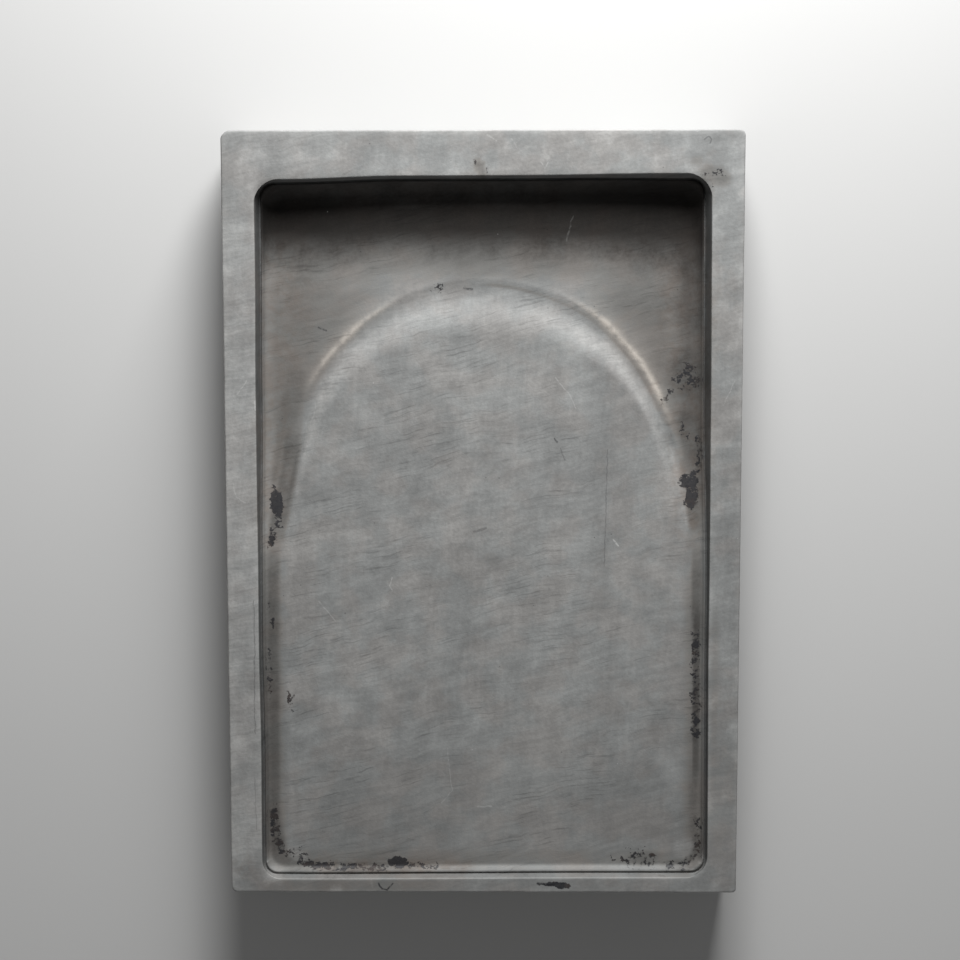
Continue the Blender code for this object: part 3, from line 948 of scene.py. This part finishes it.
def slate_material():
    material = bpy.data.materials.new("slate_look")
    material.use_nodes = True
    tree = material.node_tree
    shader = tree.nodes["Principled BSDF"]
    wire = Wiring(tree)
    metres = wire.node("ShaderNodeTexCoord", {}, "Object")
    place = wire.scaled(metres, 1.0 / MM)
    top, rim, stain_and_shade = wire.field("top"), wire.field("rim"), wire.field("stain_and_shade")

    # Stone: clouds, mottling, bedding streaks that rise to the right, and fine grain
    cloud = wire.noise(place, 0.04, 2.0)
    mottle = wire.noise(place, 0.14, 4.0, 0.62)
    grain = wire.noise(place, 1.1, 2.0, 0.7)
    bent = wire.vector("ADD", place, wire.jitter(place, 0.05, 3.0, STREAK_DRIFT))
    fine = wire.layer(bent, *FINE_STREAKS)
    broad = wire.layer(bent, *BROAD_STREAKS)
    brushed = wire.layer(bent, *BRUSH_MARKS)
    patch = wire.layer(place, *STREAK_PATCHES)
    cluster = wire.product(wire.ramp(patch, 0.4, 0.6, 0.15, 1.0), wire.darker(rim, 0.6))
    dark_streak = wire.product(wire.ramp(fine, 0.50, 0.70), cluster)
    pits = wire.specks(place, 4.2, 0.22, 0.35)
    flecks = wire.specks(wire.vector("ADD", place, (31.0, 17.0, 5.0)), 6.5, 0.2, 0.5)
    strata = wire.layer(bent, *SIDE_STRATA)
    sawn = wire.layer(bent, *SAW_MARKS)
    side = wire.math("SUBTRACT", 1.0, top)
    tone = wire.product(
        wire.tint(cloud, 0.3, 0.7, 0.91, 1.09),
        wire.tint(mottle, 0.3, 0.7, 0.88, 1.11),
        wire.tint(broad, 0.32, 0.68, 0.92, 1.07, top),
        wire.tint(brushed, 0.3, 0.7, 0.96, 1.04, top),
        wire.tint(grain, 0.25, 0.75, 0.93, 1.07),
        wire.tint(dark_streak, 0.0, 1.0, 1.0, 0.73, top),
        wire.tint(fine, 0.44, 0.26, 1.0, 1.07, top),
        wire.tint(strata, 0.34, 0.7, 1.05, 0.9, side),
        wire.tint(sawn, 0.36, 0.7, 1.05, 0.93, side),
        wire.darker(pits, 0.45),
    )
    colour = wire.blend(wire.ramp(wire.noise(place, 0.09, 3.0), 0.42, 0.6), SLATE_COOL, SLATE_WARM)
    colour = wire.scaled(colour, tone)

    # Ink stain with painted shade and shadow, brown stain, pale wear with painted highlights, and
    # the cream crest of the ridge with its painted highlight
    uneven = wire.sum(
        wire.ramp(mottle, 0.3, 0.7, -0.55, 0.55),
        wire.ramp(brushed, 0.3, 0.7, -0.12, 0.12),
        wire.ramp(grain, 0.3, 0.7, -0.25, 0.25),
    )
    uneven = wire.product(uneven, stain_and_shade, wire.math("SUBTRACT", 1.0, stain_and_shade))
    stain_and_shade = wire.math("MULTIPLY_ADD", stain_and_shade, 1.03, uneven, clamp=True)
    tinted = wire.vector("MULTIPLY", colour, STAIN_AND_SHADE_EDGE_TINT)
    colour = wire.blend(wire.ramp(stain_and_shade, 0.05, 0.3), colour, tinted)
    # Ink stain and painted shade: the pool's trough is darkened as the shadow under its end wall,
    # and the well's sides and wall feet as shade
    darkened = wire.vector("MULTIPLY", colour, STAIN_AND_SHADE_TINT)
    colour = wire.blend(stain_and_shade, colour, darkened)
    blotches = wire.ramp(wire.noise(place, 0.3, 4.0, 0.65), 0.38, 0.62)
    brown = wire.product(wire.field("brown"), blotches)
    rusty = wire.vector("MULTIPLY", colour, BROWN_TINT)
    colour = wire.blend(brown, colour, rusty)
    # Pale wear, with painted highlights along the lip and the slab's outer edge
    wear_and_highlight = wire.product(wire.field("wear_and_highlight"), wire.ramp(fine, 0.64, 0.42, 0.55, 1.0))
    colour = wire.blend(wear_and_highlight, colour, wire.scaled(PALE_WEAR_AND_HIGHLIGHT, tone))
    # Cream crest with its painted highlight, broken up by noise
    crest_breakup = wire.ramp(wire.noise(place, 0.45, 4.0), 0.3, 0.55, 0.5, 1.0)
    cream = wire.product(wire.field("cream"), crest_breakup)
    colour = wire.blend(cream, colour, wire.scaled(RIDGE_CREAM, tone))
    # Painted shade on the well's inner walls, with some ink stain
    on_wall = wire.math("MULTIPLY", wire.field("wall_shade_and_stain"), WALL_SHADE_AND_STAIN_SHARE)
    colour = wire.blend(on_wall, colour, wire.scaled(colour, WALL_SHADE_AND_STAIN_LEAVES))

    # Small marks: chalky haze on the rim, broken hairlines and specks
    haze = wire.product(rim, wire.ramp(mottle, 0.56, 0.78), 0.35)
    colour = wire.blend(haze, colour, CHALK)
    group = segment_group()
    flat = wire.vector("MULTIPLY", place, (1.0, 1.0, 0.0))
    wander = wire.jitter(flat, 0.45, 2.0, LINE_WANDER)
    drawn = wire.vector("SUBTRACT", wire.vector("ADD", flat, wander), (LINE_WANDER / 2,) * 3)
    drawn = wire.vector("MULTIPLY", drawn, (1.0, 1.0, 0.0))
    off_wall = wire.darker(wire.field("wall_shade_and_stain"), 1.0)
    broken = wire.product(wire.ramp(grain, 0.35, 0.55, 0.35, 1.0), top, off_wall)
    dark_line = wire.product(hairlines(wire, group, drawn, DARK_LINES), broken)
    pale_line = wire.product(hairlines(wire, group, drawn, LIGHT_LINES), broken)
    pale_line = wire.math("MAXIMUM", pale_line, wire.product(flecks, 0.5))
    colour = wire.blend(pale_line, colour, CHALK)
    colour = wire.blend(dark_line, colour, CRUST_BLACK)

    # Dried ink: a soft field cut to crisp ragged edges by noise
    flaky = wire.noise(place, 0.62, 6.0, 0.68)
    cracked = wire.math("ABSOLUTE", wire.math("SUBTRACT", wire.noise(place, 0.42, 3.0, 0.6), 0.5))
    ragged = wire.sum(wire.ramp(flaky, 0.28, 0.72), wire.ramp(cracked, 0.0, 0.07, 0.25, -0.05))
    amount = wire.field("crust")
    cut = wire.math("SUBTRACT", wire.math("ADD", ragged, amount), 1.0)
    crust = wire.product(wire.ramp(cut, 0.0, 0.12), wire.math("GREATER_THAN", amount, 0.02))
    halo = wire.product(wire.ramp(cut, -0.35, 0.1), wire.ramp(amount, 0.05, 0.6, 0.0, 0.55))
    colour = wire.blend(halo, colour, wire.scaled(colour, HALO_LEAVES))
    dried = wire.blend(wire.ramp(mottle, 0.5, 0.62), CRUST_BLACK, CRUST_BROWN)
    colour = wire.blend(wire.product(crust, wire.ramp(grain, 0.3, 0.6, 0.97, 0.85)), colour, dried)
    tree.links.new(colour, shader.inputs["Base Color"])

    # The stone is matt, more so where ink stain and painted shade darken it, and the dried ink is a
    # little glossy
    uneven_matt = wire.math("MULTIPLY_ADD", mottle, 0.16, -0.08)
    matt = wire.sum(ROUGHNESS, uneven_matt, wire.math("MULTIPLY", crust, -0.15))
    matt = wire.sum(matt, wire.math("MULTIPLY", stain_and_shade, 0.3))
    tree.links.new(matt, shader.inputs["Roughness"])
    shader.inputs["Specular IOR Level"].default_value = SPECULAR

    grain_height = wire.math("MULTIPLY", grain, GRAIN_HEIGHT)
    height = wire.sum(grain_height, wire.math("MULTIPLY", crust, CRUST_HEIGHT))
    bump_normal = wire.node("ShaderNodeBump", {"Height": height, "Distance": MM, "Strength": 1.0})
    tree.links.new(bump_normal, shader.inputs["Normal"])
    return material


stone = build_stone()
stone.data.materials.append(slate_material())
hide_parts("inkstone")
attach(stone, "root")


# ---------------------------------------------------------------- floor, light and camera

# In metres and watts: name, place, target, size and power
KEY_LIGHT = ("key_light", (0.05, 0.43, 0.25), (0.0, 0.02, 0.0), (0.20, 0.40), 5.3)
FILL_LIGHT = ("fill_light", (0.0, -0.95, 0.22), (0.0, -0.1, 0.014), (0.80, 0.30), 1.2)
WORLD_STRENGTH = 0.13
FLOOR_SIZE = 12.0
FLOOR_GAP = 0.0002  # below the stone, so that the two faces don't share a plane
FLOOR_COLOUR = (0.5, 0.5, 0.495, 1.0)
FLOOR_ROUGHNESS = 0.8
CAMERA_PLACE = (0.00499, 0.06843, 0.55190)
CAMERA_TURNS = (-6.319, 0.624, -0.077)  # degrees
CAMERA_LENS = 75.0
CAMERA_SENSOR = 36.0
CAMERA_CLIP = (0.01, 20.0)


def add_floor():
    bpy.ops.mesh.primitive_plane_add(size=FLOOR_SIZE, location=(0.0, 0.0, -FLOOR_GAP))
    floor = bpy.context.object
    floor.name = "studio_floor"
    material = bpy.data.materials.new("studio_floor_look")
    material.use_nodes = True
    shader = material.node_tree.nodes["Principled BSDF"]
    shader.inputs["Base Color"].default_value = FLOOR_COLOUR
    shader.inputs["Roughness"].default_value = FLOOR_ROUGHNESS
    floor.data.materials.append(material)


def add_area(name, place, target, size, power):
    light = bpy.data.lights.new(name, "AREA")
    light.shape = "RECTANGLE"
    light.size, light.size_y = size
    light.energy = power
    holder = bpy.data.objects.new(name, light)
    holder.location = place
    aim = np.array(target) - np.array(place)
    holder.rotation_euler = Vector(aim).to_track_quat("-Z", "Y").to_euler()
    bpy.context.scene.collection.objects.link(holder)


def add_lights():
    add_area(*KEY_LIGHT)
    add_area(*FILL_LIGHT)
    world = bpy.data.worlds.new("studio")
    bpy.context.scene.world = world
    world.use_nodes = True
    background = world.node_tree.nodes["Background"]
    background.inputs["Color"].default_value = (1.0, 1.0, 1.0, 1.0)
    background.inputs["Strength"].default_value = WORLD_STRENGTH


def add_camera():
    camera = bpy.data.cameras.new("photo_camera")
    camera.lens = CAMERA_LENS
    camera.sensor_width = CAMERA_SENSOR
    camera.clip_start, camera.clip_end = CAMERA_CLIP
    holder = bpy.data.objects.new("photo_camera", camera)
    holder.location = CAMERA_PLACE
    holder.rotation_euler = [math.radians(turn) for turn in CAMERA_TURNS]
    bpy.context.scene.collection.objects.link(holder)
    bpy.context.scene.camera = holder


add_floor()
add_lights()
add_camera()
bpy.context.scene.view_settings.view_transform = "Standard"
